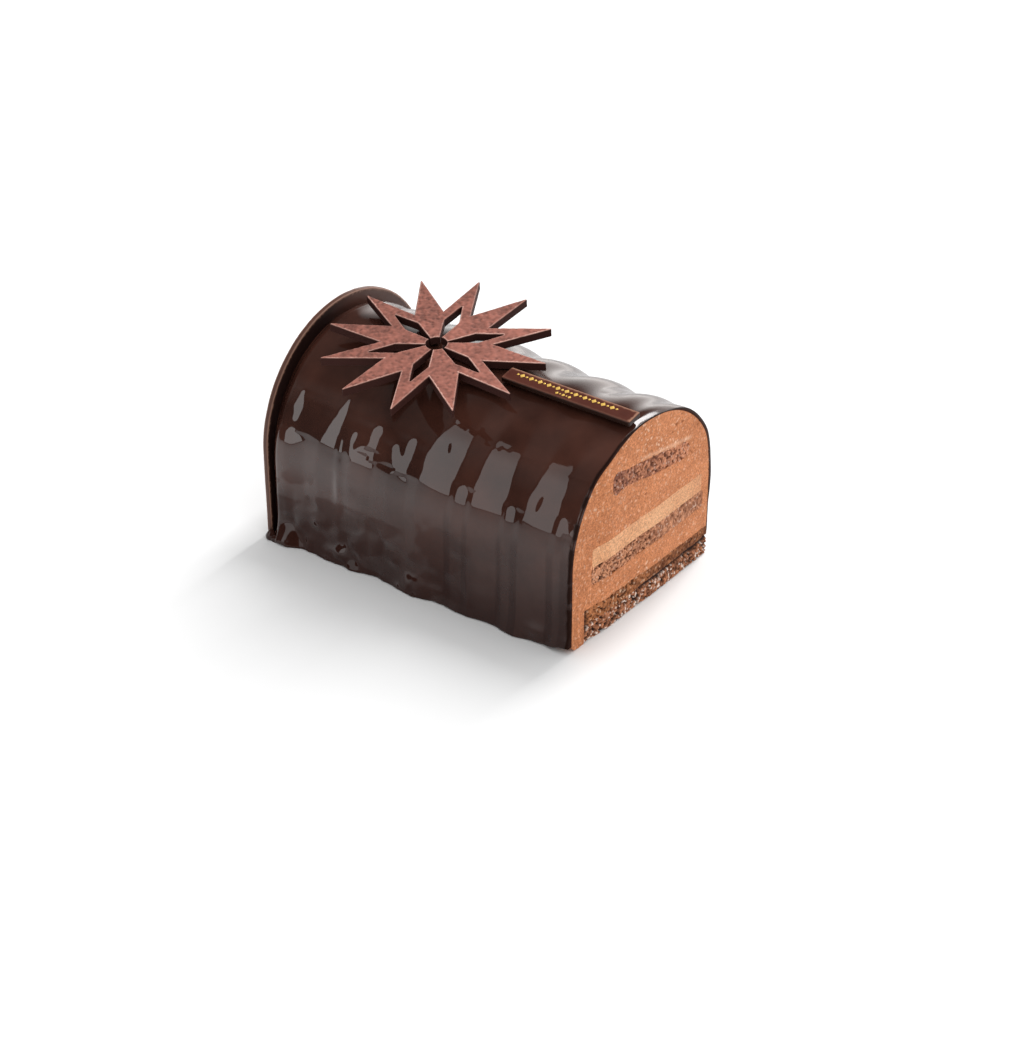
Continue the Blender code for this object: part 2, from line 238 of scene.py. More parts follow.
def fill(loops, spacing=None, seed=0):
    """Triangles over the area between loops: points, triangles and each loop's point numbers.

    With a spacing, scattered points about that far apart lie inside.
    """
    border = np.concatenate(loops)
    points = border
    if spacing is not None:
        low, high = border.min(0), border.max(0)
        rows = np.arange(low[1], high[1], spacing * 0.87)
        columns = np.arange(low[0], high[0], spacing)
        v, u = np.meshgrid(rows, columns, indexing="ij")
        u = u + spacing * 0.5 * (np.arange(len(rows))[:, None] % 2)
        count = np.arange(u.size).reshape(u.shape)
        u, v = (c + spacing * 0.5 * (lattice(count, 0, k, seed) - 0.5) for k, c in enumerate((u, v)))
        inner = np.stack([u.ravel(), v.ravel()], 1)
        inner = inner[is_inside(inner, loops)]
        clear = np.ones(len(inner), bool)
        for start in range(0, len(border), 200):
            some = border[start:start + 200]
            apart = ((inner[:, None, :] - some[None]) ** 2).sum(-1).min(1)
            clear &= apart > (0.55 * spacing) ** 2
        points = np.concatenate([border, inner[clear]])
    spans, first = [], 0
    for loop in loops:
        spans.append(range(first, first + len(loop)))
        first += len(loop)
    edges = [(i, i + 1 if i + 1 in span else span.start) for span in spans for i in span]
    given = [Vector(p) for p in points / MM]
    found = delaunay_2d_cdt(given, edges, [], 1, 1e-5, True)
    flat = np.array([tuple(v) for v in found[0]]) * MM
    faces = np.array([face for face in found[2] if len(face) == 3])
    faces = faces[is_inside(flat[faces].mean(1), loops)]
    number = {origin: made for made, origins in enumerate(found[3]) for origin in origins}
    rings = [[number[i] for i in span] for span in spans]
    a, b, c = (flat[faces[:, i]] for i in range(3))
    turn = (b[:, 0] - a[:, 0]) * (c[:, 1] - a[:, 1]) - (b[:, 1] - a[:, 1]) * (c[:, 0] - a[:, 0])
    faces = np.where((turn < 0)[:, None], faces[:, ::-1], faces)
    return flat, faces.tolist(), rings


def walls(upper, lower):
    """Faces between two rings of equally many points, the upper one's solid on its left."""
    count = len(upper)
    return [(upper[i], lower[i], lower[(i + 1) % count], upper[(i + 1) % count]) for i in range(count)]


def tube(first, count, steps):
    """Walls down through rings of count points each. The uppermost ring begins at point first."""
    faces = []
    for start in range(first, first + steps * count, count):
        upper = range(start, start + count)
        faces += walls(upper, [i + count for i in upper])
    return faces


def closed_with(back_faces, rings, back_rings, first):
    """The back's faces, turned to look away, and the walls to it. Its points begin at first."""
    faces = [tuple(first + i for i in face[::-1]) for face in back_faces]
    for above, below in zip(rings, back_rings):
        faces += walls(above, [first + i for i in below])
    return faces


def cut_body(loops, spacing, front, seed):
    """A body with a detailed face at the cut, and straight walls back to the layers' far end."""
    flat, faces, rings = fill(loops, spacing, seed)
    verts = [np.column_stack([front(flat[:, 0], flat[:, 1]), flat])]
    back_flat, back_faces, back_rings = fill(loops)
    verts.append(np.column_stack([np.full(len(back_flat), LAYER_END_X), back_flat]))
    return np.concatenate(verts), faces + closed_with(back_faces, rings, back_rings, len(flat))


def slab(loops, thickness, relief, seed, bevel, spacing, back_spacing=None):
    """A flat piece in its XY plane with bevelled edges and relief on its upper side.

    Gives its points, its faces, and a number for each point that is 1 on the rim of its upper side.
    """
    inner = [inset(loop, bevel) for loop in loops]
    half = thickness / 2
    flat, faces, rings = fill(inner, spacing, seed)
    verts = [np.column_stack([flat, half + relief(flat[:, 0], flat[:, 1])])]
    edge = [np.zeros(len(flat))]
    edge[0][np.concatenate(rings)] = 1.0
    first = len(flat)
    for level in (half - bevel, half - 2 * bevel, 2 * bevel - half, bevel - half):
        made = []
        for outline in loops:
            made.append(list(range(first, first + len(outline))))
            verts.append(np.column_stack([outline, np.full(len(outline), level)]))
            edge.append(np.zeros(len(outline)))
            first += len(outline)
        for above, below in zip(rings, made):
            faces += walls(above, below)
        rings = made
    flat, back_faces, back_rings = fill(inner, back_spacing, seed + 1)
    sunk = 0.0 if back_spacing is None else relief(flat[:, 1], flat[:, 0])
    verts.append(np.column_stack([flat, sunk - half + np.zeros(len(flat))]))
    edge.append(np.zeros(len(flat)))
    faces += closed_with(back_faces, rings, back_rings, first)
    return np.concatenate(verts), faces, np.concatenate(edge)


# ---- materials

def new_material(name):
    material = bpy.data.materials.new(name)
    material.use_nodes = True
    tree = material.node_tree
    return material, tree, tree.nodes["Principled BSDF"]


def put(tree, node, inputs):
    """Sets the node's inputs, each to a socket, a number or the three numbers of a colour."""
    for name, value in inputs.items():
        if isinstance(value, bpy.types.NodeSocket):
            tree.links.new(value, node.inputs[name])
        else:
            node.inputs[name].default_value = (*value, 1.0) if isinstance(value, tuple) else value


def add_node(tree, kind, inputs, **settings):
    node = tree.nodes.new("ShaderNode" + kind)
    for name, value in settings.items():
        setattr(node, name, value)
    put(tree, node, inputs)
    return node.outputs


def add_noise(tree, scale, detail=2.0, roughness=0.5):
    where = add_node(tree, "TexCoord", {})["Object"]
    cloud = {"Vector": where, "Scale": scale, "Detail": detail, "Roughness": roughness}
    return add_node(tree, "TexNoise", cloud)["Fac"]


def spread(tree, value, low, high, start=0.0, end=1.0):
    """The value carried from low..high to start..end."""
    limits = {"Value": value, "From Min": low, "From Max": high, "To Min": start, "To Max": end}
    return add_node(tree, "MapRange", limits)["Result"]


def blend(tree, share, first, second, kind="MIX"):
    """Two colours mixed. The share is a socket or a number."""
    return add_node(tree, "Mix", {0: share, 6: first, 7: second}, data_type="RGBA", blend_type=kind)[2]


def times(tree, first, second):
    return add_node(tree, "Math", {0: first, 1: second}, operation="MULTIPLY")["Value"]


def crumb_channels(tree):
    """What paint() left on the mesh: pits, flecks and blotches."""
    crumb = add_node(tree, "Attribute", {}, attribute_name="crumb")["Color"]
    return tuple(add_node(tree, "SeparateColor", {"Color": crumb}))


def food_material(name, light, dark, pit_shade, fleck, roughness, grain_scale=1500.0):
    """A matt crumb: light and dark mottling, with pits painted dark as shade in the holes, and flecks, from
    the mesh.
    """
    material, tree, shader = new_material(name)
    pits, flecks, blotch = crumb_channels(tree)
    colour = blend(tree, blotch, dark, light)
    fine = spread(tree, add_noise(tree, grain_scale, 3.0, 0.7), 0.33, 0.67)
    fine = blend(tree, fine, (0.66, 0.62, 0.58), (1.32, 1.34, 1.38))
    # painted shade: the pit colour darkens the pores; the base's crack and the gap by the mousse's leg take
    # it too
    colour = blend(tree, pits, blend(tree, 1.0, colour, fine, "MULTIPLY"), pit_shade)
    colour = blend(tree, flecks, colour, fleck)
    put(tree, shader, {"Base Color": colour, "Roughness": roughness, "Specular IOR Level": 0.3})
    return material


# ---- the cut face

def band(left, right, under, top, corner, spacing=0.5 * MM):
    """Lower and upper edge of a layer, both from left to right, under and top given over y."""
    ends = corner * np.array([0.0, 0.04, 0.14, 0.3, 0.5, 0.75])
    middle = np.arange(left + corner, right - corner, spacing)
    y = np.concatenate([left + ends, middle, (right - ends)[::-1]])
    side = np.minimum(y - left, right - y)
    short = np.maximum(corner - side, 0.0)
    draw_in = corner - np.sqrt(corner ** 2 - short ** 2)
    lower = np.stack([y, under(y) + draw_in], 1)
    upper = np.stack([y, top(y) - draw_in], 1)
    return lower, upper


def wander(level, amount, seed, fine=0.5):
    """An edge at a level over y that wanders up and down."""
    def edge(y):
        drift = wobble(y, 6, seed) + fine * wobble(y, 1.3, seed + 50)
        return level(y) + amount * drift
    return edge


def flat_level(z):
    return lambda y: z + 0.0 * y


UPPER_SLOPE = tan(radians(9.3))
UPPER_HALF = (upper_high.z - upper_low.z - (upper_high.y - upper_low.y) * UPPER_SLOPE) / 2 - 0.1 * MM
UPPER_SHIFT = -1.3 * MM  # how far along Y the upper sponge is moved at the cut
CREAM_CORNER = 0.8 * MM
BASE_SEAM = (base_high.z + base_top_low.z) / 2
BASE_SHORT = 1.4 * MM  # how far the base stops short of the mousse's +Y side
LEG_ROUNDING = np.array([3.6, 2.4]) * MM
MOUSSE_SPACING, SPONGE_SPACING = 0.5 * MM, 0.26 * MM  # how far apart the points on the cut are


def sloped(offset):
    """A level above the upper sponge's middle line, which falls towards +Y."""
    middle_y, middle_z = (upper_low.y + upper_high.y) / 2, (upper_low.z + upper_high.z) / 2
    return lambda y: middle_z + offset - UPPER_SLOPE * (y - middle_y)


def upper_under(y):
    """The upper sponge's lower edge, which sags at its -Y end."""
    from_end = y - upper_low.y - UPPER_SHIFT
    return sloped(-UPPER_HALF)(y) - 1.4 * MM * ramp(7, 1, from_end)


def base_top(y):
    share = (y - base_top_low.y) / (base_top_high.y - base_top_low.y)
    return base_top_high.z - LAYER_WAVE - BASE_FALL * share


def layer_edges():
    """The layers' lower and upper edges at the cut, from their packed boxes."""
    seam = (middle_high.z + cream_low.z) / 2
    return {
        "middle": band(middle_low.y + 1.3 * MM, middle_high.y - 1.3 * MM,
                       wander(flat_level(middle_low.z + LAYER_WAVE), 0.30 * MM, 3),
                       flat_level(seam), 1.3 * MM),
        "cream": band(cream_low.y, cream_high.y - 2.2 * MM, flat_level(seam),
                      wander(flat_level(cream_high.z - LAYER_WAVE), 0.12 * MM, 4), CREAM_CORNER),
        "upper": band(upper_low.y + UPPER_SHIFT, upper_high.y + UPPER_SHIFT,
                      wander(upper_under, 0.40 * MM, 5, 0.9),
                      wander(sloped(UPPER_HALF), 0.40 * MM, 6, 0.9), 3.0 * MM),
        "base_top": band(base_top_low.y, base_top_high.y - BASE_SHORT, flat_level(BASE_SEAM),
                         wander(base_top, 0.30 * MM, 7), 0.25 * MM),
        "base_bottom": band(base_low.y, base_high.y - BASE_SHORT,
                            wander(flat_level(0.18 * MM), 0.16 * MM, 8, 1.0),
                            flat_level(BASE_SEAM), 0.3 * MM),
    }


def round_trip(lower, upper):
    """A closed loop, anticlockwise seen from the cut."""
    return np.concatenate([lower, upper[::-1]])


def mousse_outline(edges):
    """The mousse at the cut: the arch, a leg on the -Y side, and the base's place left open."""
    r = CORE_RADIUS
    over = arch(mousse_radius(np.linspace(pi, 0, 230)), ARC_HEIGHT, 230)
    top = edges["base_top"][1]
    leg = top[0, 0]
    right = line(over[0, 0], np.linspace(top[-1, 1] + 0.05 * MM, ARC_HEIGHT, 40)[:-1])
    left = line(-r, np.linspace(ARC_HEIGHT, LEG_ROUNDING[1], 60)[1:])
    turn = np.linspace(0, pi / 2, 12)[1:]
    corner = np.array([-r, 0.0]) + LEG_ROUNDING * np.stack([1 - np.cos(turn), 1 - np.sin(turn)], 1)
    foot = line(np.linspace(corner[-1, 0], leg, 8)[1:], 0.0)
    rise = line(leg, np.linspace(0.0, top[0, 1], 26)[1:-1])
    return np.concatenate([right, over, left, corner, foot, rise, top[:-1]])


def stack_outline(edges):
    """The middle sponge and the cream on it as one closed loop."""
    middle_lower, middle_upper = edges["middle"]
    cream_lower, cream_upper = edges["cream"]
    left, right = cream_upper[0, 0] + CREAM_CORNER, cream_upper[-1, 0] - CREAM_CORNER
    return np.concatenate([
        middle_lower, middle_upper[middle_upper[:, 0] > right][::-1],
        cream_lower[cream_lower[:, 0] > right], cream_upper[::-1],
        cream_lower[cream_lower[:, 0] < left], middle_upper[middle_upper[:, 0] < left][::-1],
    ])


def knife_marks(y, z, seed):
    """Faint upright streaks that the knife left, strongest at the lower left."""
    place = ramp(10, -38, y) * ramp(45, 5, z)
    streak = noise(y / (0.7 * MM), z / (9 * MM), 0.5, seed)
    return place * streak


def mousse_spots(y, z):
    """Small pits and pale flecks, 0 to 1 each."""
    pits = smoothstep(0.52, 0.80, grain(y, z, 0.75, 21))
    pits = pits * smoothstep(0.0, 0.5, grain(y, z, 3.5, 22))
    band_share = 0.45 + 0.55 * smoothstep(0.0, 0.6, grain(y, z, 11, 24))
    flecks = smoothstep(0.36, 0.70, grain(y, z, 0.62, 23)) * band_share
    return pits, flecks


def mousse_front(y, z):
    pits, flecks = mousse_spots(y, z)
    swell = mottle(y, z, (0.10, 9, 25), (0.04, 1.1, 26))
    marks = 0.05 * knife_marks(y, z, 27)
    return cut_at(y) + MM * (swell + marks - 0.45 * pits + 0.07 * flecks)


def mousse_paint(y, z):
    pits, flecks = mousse_spots(y, z)
    blotch = 0.55 + mottle(y, z, (0.35, 7, 28), (0.50, 1.2, 29))
    blotch = blotch + 0.35 * knife_marks(y, z, 30) - 0.30 * ramp(-16, -36, y)
    above = z - sloped(UPPER_HALF + 1.0 * MM)(y)
    pale_line = np.exp(-(above / (0.7 * MM)) ** 2) * (0.6 + 0.4 * grain(y, z, 2, 32))
    pale_line = pale_line * ramp(-7, 2, y) * ramp(27, 23, y)
    flecks = np.clip(0.8 * flecks + 0.45 * pale_line, 0, 1)
    return channels(0.85 * pits, flecks, blotch)


def build_mousse(edges):
    upper_hole = round_trip(*edges["upper"])[::-1]
    loops = [mousse_outline(edges), upper_hole, stack_outline(edges)[::-1]]
    verts, faces = cut_body(loops, MOUSSE_SPACING, mousse_front, 31)
    first = len(verts)
    r = CORE_RADIUS
    section = np.concatenate([arch(r, ARC_HEIGHT, 60), feet(r, 0.5 * MM)])
    count = len(section)
    rings = []
    for x, scale in ((LAYER_END_X + 0.05 * MM, 1.0), (CORE_END_X + 2 * MM, 1.0), (CORE_END_X, 0.97)):
        ring = section * scale
        ring[:, 1] = np.maximum(ring[:, 1], 0.0)
        rings.append(np.column_stack([np.full(count, x), ring]))
    faces += tube(first, count, 2)
    faces.append(tuple(first + i for i in range(count)))
    faces.append(tuple(first + 2 * count + i for i in reversed(range(count))))
    verts = np.concatenate([verts] + rings)
    look = food_material("mousse", (0.615, 0.234, 0.095), (0.445, 0.154, 0.055), (0.17, 0.052, 0.019),
                         (0.93, 0.66, 0.47), 0.7)
    piece = add_mesh("mousse_body", verts, faces, look, 55)
    paint(piece, mousse_paint(verts[:, 1], verts[:, 2]))
    settle(piece, "mousse_core")


def cream_front(y, z):
    swell = mottle(y, z, (0.06, 7, 41), (0.02, 0.9, 42))
    return cut_at(y) + MM * (0.03 + swell + 0.04 * knife_marks(y, z, 43))


def cream_paint(y, z):
    blotch = 0.5 + mottle(y, z, (0.35, 6, 44), (0.2, 1.2, 45))
    blotch = blotch - 0.9 * ramp(22, 35, y)
    flecks = 0.5 * smoothstep(0.55, 0.8, grain(y, z, 0.7, 46))
    return channels(0 * y, flecks, blotch)


def build_cream(edges):
    loops = [round_trip(*edges["cream"])]
    verts, faces = cut_body(loops, MOUSSE_SPACING, cream_front, 47)
    look = food_material("cream", (0.77, 0.42, 0.215), (0.60, 0.27, 0.12), (0.35, 0.15, 0.07),
                         (0.86, 0.58, 0.36), 0.55)
    piece = add_mesh("cream_body", verts, faces, look, 55)
    paint(piece, cream_paint(verts[:, 1], verts[:, 2]))
    settle(piece, "cream_layer")


def pores(y, z, size, open_share, seed):
    """Sponge pores, 0 to 1, in two sizes."""
    large = smoothstep(0.36 - open_share, 0.54 - open_share, grain(y, z, size, seed))
    small = smoothstep(0.42 - open_share, 0.62 - open_share, grain(y, z, size * 0.6, seed + 1))
    return np.maximum(large, 0.85 * small)


def sponge_piece(name, node, loop, holes, look, seed, tilt):
    """A sponge layer. holes gives its pores and flecks over the cut, look its four colours.

    tilt is how much lighter it gets over 20 mm towards +Y.
    """
    def front(y, z):
        pits, flecks = holes(y, z)
        rough = mottle(y, z, (0.10, 0.8, seed), (0.10, 5, seed + 1))
        return cut_at(y) + MM * (rough - 0.75 * pits + 0.12 * flecks)

    verts, faces = cut_body([loop], SPONGE_SPACING, front, seed)
    y, z = verts[:, 1], verts[:, 2]
    pits, flecks = holes(y, z)
    blotch = 0.5 + mottle(y, z, (0.35, 4, seed + 2), (0.75, 0.9, seed + 3))
    blotch = blotch + tilt * y / (20 * MM)
    piece = add_mesh(name, verts, faces, food_material(name + "_crumb", *look, 0.9), 55)
    paint(piece, channels(pits, flecks, blotch))
    settle(piece, node)


def add_flecks(y, z, pits, share, seed, start=0.38, end=0.65, size=0.7):
    """The pits, and pale flecks between them."""
    return pits, share * smoothstep(start, end, grain(y, z, size, seed)) * (1 - pits)


def middle_pores(y, z):
    coarse = ramp(14, -4, y)
    pits = pores(y, z, 0.80, 0.20 * coarse - 0.06, 71) * (0.45 + 0.55 * coarse)
    return add_flecks(y, z, pits, 0.6, 73)


def upper_pores(y, z):
    return add_flecks(y, z, 0.75 * pores(y, z, 0.78, 0.08, 75), 0.65, 77)


def base_seam_crack(y, z):
    """The dark crack between the base's two layers, open over the +Y half."""
    off = np.abs(z - BASE_SEAM + 0.25 * MM * wobble(y, 5, 88))
    width = (0.62 + 0.20 * wobble(y, 4, 89)) * MM
    return smoothstep(width + 0.15 * MM, width - 0.1 * MM, off) * ramp(-6, 0, y)


def left_gap(y, z, start, end):
    """1 where the base draws back from the mousse's leg."""
    return ramp(start, end, y - base_low.y + 0.8 * MM * grain(y, z, 2, 82))


def base_top_pores(y, z):
    coarse = ramp(10, -18, y)
    pits = pores(y, z, 0.85, 0.14 * coarse, 79) * (0.55 + 0.45 * coarse)
    gap = left_gap(y, z, 2.2, 0.6)
    share = (0.4 + 0.5 * coarse) * (1 - gap)
    pits, flecks = add_flecks(y, z, np.maximum(pits, base_seam_crack(y, z)), share, 81, 0.38, 0.62, 0.75)
    return np.maximum(pits, gap), flecks


def base_bottom_pores(y, z):
    gap = left_gap(y, z, 2.4, 0.8) * ramp(2, 4, z)
    pits = np.maximum(pores(y, z, 0.85, 0.17, 85), np.maximum(base_seam_crack(y, z), gap))
    return add_flecks(y, z, pits, 0.95, 87, 0.24, 0.46, 0.72)


def build_sponges(edges):
    sponge = ((0.68, 0.314, 0.168), (0.27, 0.105, 0.054), (0.055, 0.02, 0.012), (0.72, 0.50, 0.38))
    mauve = ((0.585, 0.243, 0.128), (0.20, 0.072, 0.042), (0.07, 0.026, 0.018), (0.62, 0.42, 0.34))
    brown = ((0.42, 0.158, 0.058), (0.15, 0.048, 0.017), (0.035, 0.012, 0.007), (0.70, 0.46, 0.31))
    crumbly = ((0.53, 0.212, 0.10), (0.18, 0.068, 0.034), (0.03, 0.012, 0.009), (0.88, 0.72, 0.62))
    for name, node, slot, layer, holes, look, seed, tilt in (
        ("middle_sponge_body", "middle_sponge", "sponge", "middle", middle_pores, sponge, 61, -0.16),
        ("upper_sponge_body", "upper_sponge", "sponge", "upper", upper_pores, mauve, 65, 0.50),
        ("base_top_body", "base_sponge_top", "base_sponge", "base_top", base_top_pores, brown, 69, -0.25),
        ("base_bottom_body", "base_sponge_bottom", "base_sponge", "base_bottom", base_bottom_pores,
         crumbly, 73, 0.0),
    ):
        sponge_piece(name, node, round_trip(*edges[layer]), holes, look, seed, tilt)


# ---- star, bar and end disc

STAR_TIP_RADIUS, STAR_NOTCH_RADIUS = 38.2 * MM, 18.8 * MM
STAR_TURN, STAR_ROLL, STAR_PITCH = radians(45.86), radians(6.96), radians(2.2)
STAR_THICKNESS = 3.1 * MM
STAR_SINK = 0.32 * MM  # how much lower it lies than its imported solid's middle
TIP_HALF = 0.006  # half the angle over which a tip is cut off
HOLE_RADIUS, SLOT_TIP_RADIUS = 3.6 * MM, 22.3 * MM
SLOT_WIDEST = (2.6, 13.4)  # a slot's half-width where it is widest, and how far out that is, in mm


def polar(radius, angle):
    return (radius * cos(angle), radius * sin(angle))


def star_loops():
    half = pi / 12
    outline = []
    for point in range(12):
        angle = STAR_TURN + 2 * half * point
        outline += [polar(STAR_TIP_RADIUS, angle - TIP_HALF), polar(STAR_TIP_RADIUS, angle + TIP_HALF),
                    polar(STAR_NOTCH_RADIUS, angle + half)]
    opening = []
    neck = radians(4.0)
    wide, opened = hypot(*SLOT_WIDEST) * MM, atan2(*SLOT_WIDEST)
    for slot in range(6):
        angle = STAR_TURN + pi / 3 * slot
        for radius, aside in ((HOLE_RADIUS, -neck), (wide, -opened), (SLOT_TIP_RADIUS, -0.008),
                              (SLOT_TIP_RADIUS, 0.008), (wide, opened)):
            opening.append(polar(radius, angle + aside))
        for step in range(5):
            opening.append(polar(HOLE_RADIUS, angle + neck + (pi / 3 - 2 * neck) * step / 5))
    return [resample(np.array(outline), 0.5 * MM), resample(np.array(opening[::-1]), 0.4 * MM)]


def uneven(loop, amount, seed):
    """The loop with its edge wandering a little."""
    u, v = loop[:, 0], loop[:, 1]
    shift = np.stack([grain(u, v, 2.5, seed), grain(u, v, 2.5, seed + 1)], 1)
    return loop + amount * shift


def velvet_material():
    material, tree, shader = new_material("velvet_chocolate")
    edge, side, blotch = crumb_channels(tree)
    colour = blend(tree, blotch, (0.105, 0.030, 0.019), (0.345, 0.115, 0.080))
    fine = spread(tree, add_noise(tree, 1200.0, 3.0, 0.7), 0.38, 0.62)
    colour = blend(tree, times(tree, fine, 0.35), colour, (0.34, 0.120, 0.082))
    colour = blend(tree, side, colour, (0.046, 0.018, 0.015))
    # painted highlight: the edge colour lightens the rims of the upper side
    colour = blend(tree, edge, colour, (0.78, 0.47, 0.39))
    sheen = spread(tree, side, 0.0, 1.0, 0.30, 0.04)
    put(tree, shader, {"Base Color": colour, "Roughness": 0.58, "Specular IOR Level": sheen})
    return material


def build_star():
    loops = star_loops()
    loops[1] = uneven(loops[1], 0.06 * MM, 93)
    relief = relief_of((0.10, 0.95, 91), (0.05, 6, 92))
    verts, faces, edge = slab(loops, STAR_THICKNESS, relief, 94, bevel=0.24 * MM, spacing=0.36 * MM)
    u, v, w = verts.T
    lean = np.clip(u / (22 * MM), -1, 1)
    blotch = 0.46 + 0.12 * lean + mottle(u, v, (0.3, 5, 95), (0.62, 0.95, 91))
    side = ramp(0.1, 0.21, 0.5 * STAR_THICKNESS - w)
    piece = add_mesh("star_plate", verts, faces, velvet_material(), 40)
    # painted highlight: the rims are lightest where they face -Y
    lit = 0.25 + 0.65 * smoothstep(-0.1, 0.8, facing(piece, 0, -1))
    edge = edge * lit * (0.78 + 0.22 * lean + 0.4 * grain(u, v, 1.5, 97))
    paint(piece, channels(edge, side, blotch))
    turn = Matrix.Rotation(STAR_PITCH, 4, "Y") @ Matrix.Rotation(STAR_ROLL, 4, "X")
    middle = (star_low + star_high) / 2 - Vector((0, 0, STAR_SINK))
    piece.data.transform(Matrix.Translation(middle) @ turn)
    settle(piece, "star")


BAR_ROLL = radians(9.6)
GILT_STEP = 1.75  # how far the lozenges and dots are apart, in mm
BAR_LENGTH, BAR_WIDTH, BAR_THICKNESS = 50.0 * MM, 6.25 * MM, 1.95 * MM


def bar_place():
    return Matrix.Translation((plaque_low + plaque_high) / 2) @ Matrix.Rotation(BAR_ROLL, 4, "X")


def chocolate_material(name, dark, light, side, edge_highlight, share, roughness, specular):
    """Plain chocolate: mottled dark and light, with darker sides and painted highlights along the edges."""
    material, tree, shader = new_material(name)
    edge, sides, blotch = crumb_channels(tree)
    # the side colour darkens the walls; on the end disc it is painted shade on the front face
    colour = blend(tree, sides, blend(tree, blotch, dark, light), side)
    # painted highlight: the edge colour lightens the rims
    colour = blend(tree, times(tree, edge, share), colour, edge_highlight)
    put(tree, shader, {"Base Color": colour, "Roughness": roughness, "Specular IOR Level": specular})
    return material


def build_bar():
    u, v, cut = BAR_LENGTH / 2, BAR_WIDTH / 2, 0.35 * MM
    half = np.array([(u - cut, -v), (u, cut - v), (u, v - cut), (u - cut, v)])
    loop = uneven(resample(np.concatenate([half, -half]), 0.8 * MM), 0.03 * MM, 103)
    loop[:, 0] = np.clip(loop[:, 0], -u, u)
    relief = relief_of((0.02, 5, 101), (0.012, 1.2, 102))
    verts, faces, edge = slab([loop], BAR_THICKNESS, relief, 104, bevel=0.3 * MM, spacing=0.8 * MM)
    u, v, w = verts.T
    blotch = 0.5 + 0.4 * grain(u, v, 3, 105)
    side = ramp(0.1, 0.29, 0.5 * BAR_THICKNESS - w)
    look = chocolate_material("bar_chocolate", (0.060, 0.0125, 0.0065), (0.092, 0.021, 0.012),
                              (0.02, 0.006, 0.003), (0.38, 0.20, 0.13), 0.9, 0.36, 0.2)
    piece = add_mesh("bar_plate", verts, faces, look, 40)
    # painted highlight: the rim is lightest where it faces +X and +Y
    edge = edge * (0.15 + 0.85 * smoothstep(-0.3, 0.6, facing(piece, 1, 1)))
    paint(piece, channels(edge, side, blotch))
    piece.data.transform(bar_place())
    settle(piece, "plaque")


def gilt_cushion(verts, faces, centre, reach, sides):
    """A low domed tile with the given number of sides, added to the lists."""
    base = BAR_THICKNESS / 2
    first = len(verts)
    for level, share in ((-0.05, 1.0), (0.05, 0.95), (0.10, 0.6)):
        for i in range(sides):
            u, v = polar(share, 2 * pi * i / sides)
            verts.append((centre[0] + u * reach[0], centre[1] + v * reach[1], base + level * MM))
    verts.append((*centre, base + 0.115 * MM))
    for k in range(2):
        lower = [first + k * sides + i for i in range(sides)]
        faces += walls([i + sides for i in lower], lower)
    top = first + 2 * sides
    faces += [(top + i, top + (i + 1) % sides, first + 3 * sides) for i in range(sides)]
    faces.append(tuple(first + i for i in reversed(range(sides))))


def build_gilt():
    """A border of small gilt lozenges and dots along the bar, with a short one beneath it."""
    verts, faces = [], []
    for row_v, count, size in ((0.75, 11, 1.0), (-1.35, 2, 0.7)):
        for i in range(-count, count + 1):
            centre = ((-1.5 + i * GILT_STEP * size) * MM, row_v * MM)
            reach, sides = ((0.42, 0.42), 14) if i % 2 else ((0.95, 1.05), 4)
            gilt_cushion(verts, faces, centre, [r * size * MM for r in reach], sides)
    material, tree, shader = new_material("gilt")
    colour = blend(tree, add_noise(tree, 900.0), (0.62, 0.36, 0.05), (0.86, 0.58, 0.14))
    put(tree, shader, {"Base Color": colour, "Roughness": 0.45, "Metallic": 0.35})
    piece = add_mesh("gilt_border", verts, faces, material, 30)
    piece.data.transform(bar_place())
    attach(piece, "root")


def build_disc():
    thickness = disc_high.x - disc_low.x - 0.12 * MM
    bevel = 0.35 * MM
    radius = disc_high.y - 0.06 * MM
    arc_height = disc_high.z - disc_high.y
    loop = np.concatenate([arch(radius, arc_height, 150), feet(radius, 0.6 * MM)])
    loop = resample(loop, 0.8 * MM)
    out = loop - np.array([0.0, arc_height])
    wear = 0.05 * grain(*loop.T, 4, 113) + 0.05 * grain(*loop.T, 1.2, 114)
    loop = loop - (0.1 + wear)[:, None] * MM * out / np.linalg.norm(out, axis=1)[:, None]
    loop[:, 1] = np.maximum(loop[:, 1], 0.0)
    relief = relief_of((0.03, 8, 111), (0.015, 1.6, 112))
    verts, faces, edge = slab([loop], thickness, relief, 115, bevel, 0.7 * MM, 1.1 * MM)
    u, v, w = verts.T
    blotch = 0.5 + mottle(u, v, (0.35, 9, 116), (0.2, 1.5, 117))
    inside = np.hypot(u, np.maximum(v - arc_height, 0.0))
    # painted shade: the front face is darkened away from its rim over the -Y half, in the side colour
    painted_face_shade = ramp(0.6, 1.2, radius - inside) * ramp(8, -12, u) * (w > 0)
    # painted highlights: a faint line round the front face's rim and a bright line along the back edge of
    # the rim
    edge = np.maximum(edge, 0.06 * ramp(0.5, 0.2, radius - inside))
    edge = np.where(np.abs(w - bevel + thickness / 2) < 0.01 * MM, 0.9, edge)
    look = chocolate_material("plain_chocolate", (0.066, 0.025, 0.017), (0.092, 0.036, 0.024),
                              (0.014, 0.005, 0.004), (0.34, 0.19, 0.135), 0.8, 0.42, 0.28)
    piece = add_mesh("end_disc_plate", verts, faces, look, 40)
    paint(piece, channels(edge, painted_face_shade, blotch))
    stand = Matrix(((0, 0, 1, (disc_low.x + disc_high.x) / 2), (1, 0, 0, 0), (0, 1, 0, 0), (0, 0, 0, 1)))
    piece.data.transform(stand)
    settle(piece, "end_disc")


# ---- glaze

